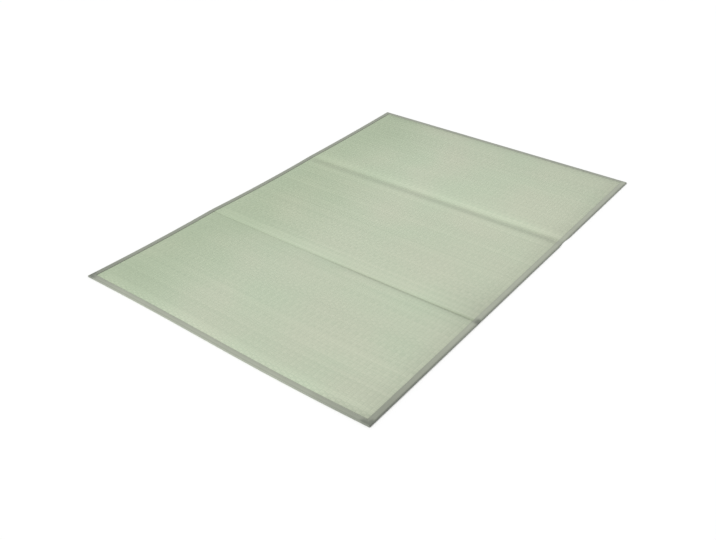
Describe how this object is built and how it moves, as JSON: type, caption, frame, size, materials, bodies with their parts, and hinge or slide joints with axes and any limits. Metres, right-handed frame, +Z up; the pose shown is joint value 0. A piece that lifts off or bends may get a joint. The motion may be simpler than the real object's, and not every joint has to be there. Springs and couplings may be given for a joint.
{
  "type": "folding rush floor mat",
  "caption": "Rush floor mat in padded panels that meet at crosswise folds, bound all round with cloth tape and lying open and flat.",
  "frame": {"origin": "middle of the mat's outline, on the floor that it lies on", "axes": "+X along the short edges and the folds, +Y along the long edges from the near short edge to the far one, +Z up"},
  "size_m": [1.2, 1.8, 0.0113],
  "materials": {
    "rush": "woven pale green rush with a low sheen",
    "binding_cloth": "matt grey-green woven cotton tape"
  },
  "bodies": {
    "root": {"rush_pad": "rush", "binding_near": "binding_cloth", "binding_far": "binding_cloth", "binding_left": "binding_cloth", "binding_right": "binding_cloth"}
  },
  "joints": []
}
